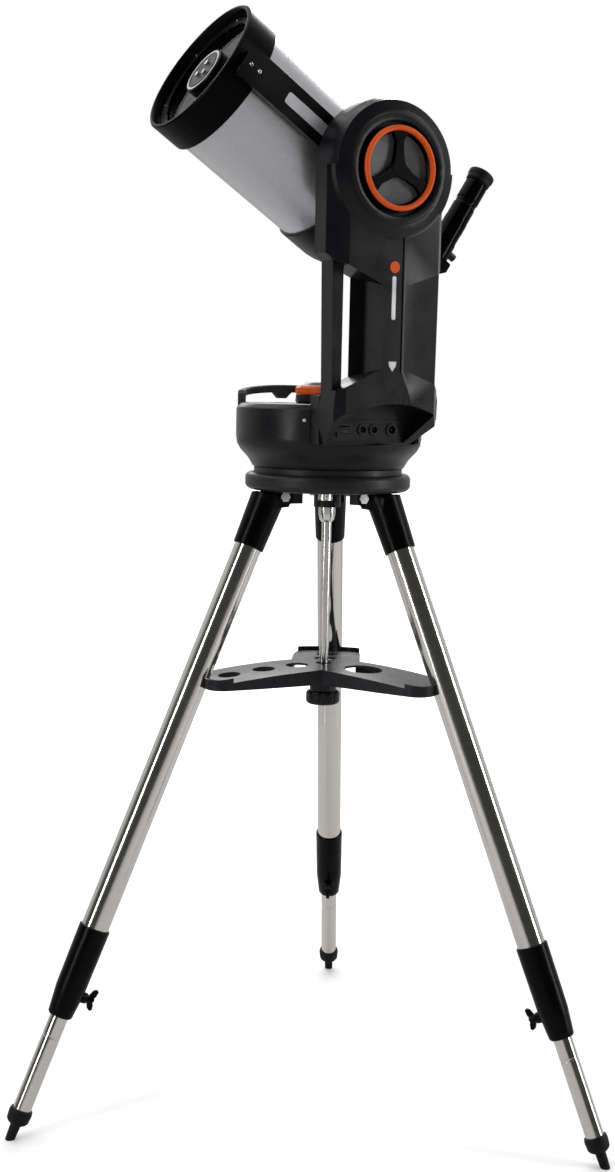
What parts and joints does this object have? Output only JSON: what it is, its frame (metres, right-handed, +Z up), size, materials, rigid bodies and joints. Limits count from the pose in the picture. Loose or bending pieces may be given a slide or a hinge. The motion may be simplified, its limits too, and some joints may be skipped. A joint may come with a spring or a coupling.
{
  "type": "schmidt cassegrain telescope on a tripod",
  "caption": "Short catadioptric telescope on a motorised single-arm altazimuth mount and a folding steel tripod with an accessory tray; tube tilts, base turns, focuser and leg slides work.",
  "frame": {"origin": "on the floor under the azimuth axis of the mount, between the three feet", "axes": "+Z up along the azimuth axis; the fork arm is on the -Y side and the altitude axis runs along Y; the optical tube points towards -X and up"},
  "size_m": [0.7314, 0.8078, 1.5076],
  "materials": {
    "black_anodised": "anodised",
    "black_casting": "satin black paint",
    "black_plastic": "fine grained",
    "bright_label": "satin",
    "circuit": "solder mask",
    "gloss_black": "glossy",
    "machined": "machined",
    "mirror_glass": "mirror",
    "motor_metal": "plain",
    "optical_glass": "clear, coated",
    "orange_plastic": "satin",
    "rubber": "matt",
    "stainless": "polished",
    "tube_paint": "metallic gloss paint",
    "zinc_steel": "bright"
  },
  "bodies": {
    "tripod_top": {"tripod_head": "black_casting", "centre_rod": "stainless", "head_bolts": "zinc_steel", "base_plate": "black_casting"},
    "tray": {"tray": "gloss_black"},
    "tray_knob": {"tray_knob": "black_plastic"},
    "azimuth_base": {"base_housing": "black_plastic", "carry_handle": "rubber", "electronics": "circuit", "drive_units": "motor_metal", "arm_shell": "black_plastic", "arm_cover": "black_plastic", "trim_badge": "orange_plastic", "trim_marks": "bright_label", "port_panel": "black_plastic"},
    "azimuth_clutch": {"azimuth_knob": "black_plastic", "azimuth_knob_band": "orange_plastic"},
    "power_switch": {"power_switch": "gloss_black"},
    "altitude_shaft": {"altitude_shaft": "machined", "saddle": "black_casting"},
    "altitude_clutch": {"altitude_knob": "black_plastic", "altitude_knob_rim": "orange_plastic"},
    "saddle_knob": {"saddle_knob": "rubber"},
    "optical_tube": {"tube_barrel": "tube_paint", "front_cell": "black_casting", "corrector_plate": "optical_glass", "retaining_ring": "black_anodised", "tube_screws": "zinc_steel", "tube_plates": "bright_label", "secondary_holder": "black_anodised", "secondary_mirror": "mirror_glass", "rear_cell": "black_casting", "visual_back": "black_anodised", "dovetail_bar": "black_anodised", "finder_body": "black_plastic", "finder_window": "optical_glass"},
    "primary_mirror": {"primary_mirror": "mirror_glass", "mirror_carrier": "machined"},
    "focus_knob": {"focus_knob": "rubber"},
    "diagonal": {"diagonal_housing": "black_casting", "diagonal_mirror": "mirror_glass"},
    "diagonal_screw": {"diagonal_screw": "black_plastic"},
    "eyepiece": {"eyepiece_body": "black_anodised", "eyepiece_lenses": "optical_glass", "eyecup": "rubber"},
    "leg_back": {"upper_tube_back": "stainless", "leg_castings_back": "black_plastic"},
    "lower_leg_back": {"lower_tube_back": "stainless", "foot_back": "rubber"},
    "leg_knob_back": {"leg_knob_back": "black_plastic"},
    "leg_left": {"upper_tube_left": "stainless", "leg_castings_left": "black_plastic"},
    "lower_leg_left": {"lower_tube_left": "stainless", "foot_left": "rubber"},
    "leg_knob_left": {"leg_knob_left": "black_plastic"},
    "leg_right": {"upper_tube_right": "stainless", "leg_castings_right": "black_plastic"},
    "lower_leg_right": {"lower_tube_right": "stainless", "foot_right": "rubber"},
    "leg_knob_right": {"leg_knob_right": "black_plastic"}
  },
  "joints": [
    {"name": "tray_drop", "type": "slide", "parent": "tripod_top", "child": "tray", "axis": [0, 0, 1], "range_m": [-0.086, 0]},
    {"name": "tray_knob_turn", "type": "hinge", "parent": "tray", "child": "tray_knob", "pos_m": [0, 0, 0.575], "axis": [0, 0, 1], "range_deg": [-720, 0]},
    {"name": "leg_fold_back", "type": "hinge", "parent": "tripod_top", "child": "leg_back", "pos_m": [0.04388, 0.06569, 0.8643], "axis": [-0.8316, 0.5554, 0], "range_deg": [0, 4.93]},
    {"name": "leg_extend_back", "type": "slide", "parent": "leg_back", "child": "lower_leg_back", "axis": [0.2178, 0.3261, -0.9199], "range_m": [-0.12, 0.4]},
    {"name": "leg_knob_turn_back", "type": "hinge", "parent": "leg_back", "child": "leg_knob_back", "pos_m": [0.19487, 0.29175, 0.17958], "axis": [-0.5109, -0.765, -0.3921], "range_deg": [-540, 0]},
    {"name": "leg_fold_left", "type": "hinge", "parent": "tripod_top", "child": "leg_left", "pos_m": [-0.07883, 0.00515, 0.8643], "axis": [-0.0652, -0.9979, 0], "range_deg": [0, 4.93]},
    {"name": "leg_extend_left", "type": "slide", "parent": "leg_left", "child": "lower_leg_left", "axis": [-0.3913, 0.0256, -0.9199], "range_m": [-0.12, 0.4]},
    {"name": "leg_knob_turn_left", "type": "hinge", "parent": "leg_left", "child": "leg_knob_left", "pos_m": [-0.3501, 0.02288, 0.17958], "axis": [0.918, -0.06, -0.3921], "range_deg": [-540, 0]},
    {"name": "leg_fold_right", "type": "hinge", "parent": "tripod_top", "child": "leg_right", "pos_m": [0.03495, -0.07085, 0.8643], "axis": [0.8968, 0.4424, 0], "range_deg": [0, 4.93]},
    {"name": "leg_extend_right", "type": "slide", "parent": "leg_right", "child": "lower_leg_right", "axis": [0.1735, -0.3516, -0.9199], "range_m": [-0.12, 0.4]},
    {"name": "leg_knob_turn_right", "type": "hinge", "parent": "leg_right", "child": "leg_knob_right", "pos_m": [0.15523, -0.31463, 0.17958], "axis": [-0.407, 0.825, -0.3921], "range_deg": [-540, 0]},
    {"name": "azimuth_turn", "type": "hinge", "parent": "tripod_top", "child": "azimuth_base", "pos_m": [0, 0, 0.92], "axis": [0, 0, 1], "continuous": true},
    {"name": "azimuth_clutch_turn", "type": "hinge", "parent": "azimuth_base", "child": "azimuth_clutch", "pos_m": [0, 0, 1], "axis": [0, 0, 1], "range_deg": [-180, 0]},
    {"name": "power_switch_tip", "type": "hinge", "parent": "azimuth_base", "child": "power_switch", "pos_m": [-0.053, -0.1245, 0.96], "axis": [1, 0, 0], "range_deg": [-14, 0]},
    {"name": "altitude_tilt", "type": "hinge", "parent": "azimuth_base", "child": "altitude_shaft", "pos_m": [-0.008, -0.14, 1.29535], "axis": [0, 1, 0], "range_deg": [-32.9, 57.1]},
    {"name": "altitude_clutch_turn", "type": "hinge", "parent": "altitude_shaft", "child": "altitude_clutch", "pos_m": [-0.008, -0.17, 1.29535], "axis": [0, -1, 0], "range_deg": [-180, 0]},
    {"name": "saddle_knob_turn", "type": "hinge", "parent": "altitude_shaft", "child": "saddle_knob", "pos_m": [-0.0319, -0.1059, 1.25841], "axis": [-0.5432, 0, -0.8396], "range_deg": [-720, 0]},
    {"name": "tube_balance", "type": "slide", "parent": "altitude_shaft", "child": "optical_tube", "axis": [-0.8396, 0, 0.5432], "range_m": [-0.035, 0.035]},
    {"name": "mirror_focus", "type": "slide", "parent": "optical_tube", "child": "primary_mirror", "axis": [-0.8396, 0, 0.5432], "range_m": [-0.005, 0.01]},
    {"name": "focus_knob_turn", "type": "hinge", "parent": "optical_tube", "child": "focus_knob", "pos_m": [0.05873, 0, 1.1831], "axis": [-0.8396, 0, 0.5432], "range_deg": [-2401, 4801]},
    {"name": "diagonal_turn", "type": "hinge", "parent": "optical_tube", "child": "diagonal", "pos_m": [0.11794, 0, 1.21387], "axis": [-0.8396, 0, 0.5432], "continuous": true},
    {"name": "diagonal_screw_turn", "type": "hinge", "parent": "diagonal", "child": "diagonal_screw", "pos_m": [0.19988, 0, 1.20613], "axis": [0.8396, 0, -0.5432], "range_deg": [-720, 0]},
    {"name": "eyepiece_slide", "type": "slide", "parent": "diagonal", "child": "eyepiece", "axis": [0.5432, 0, 0.8396], "range_m": [0, 0.03]}
  ],
  "couplings": [
    {"joint": "leg_fold_back", "follows": "tray_drop", "rad_per_m": -1},
    {"joint": "leg_fold_left", "follows": "tray_drop", "rad_per_m": -1},
    {"joint": "leg_fold_right", "follows": "tray_drop", "rad_per_m": -1},
    {"joint": "focus_knob_turn", "follows": "mirror_focus", "rad_per_m": 8377.6}
  ]
}
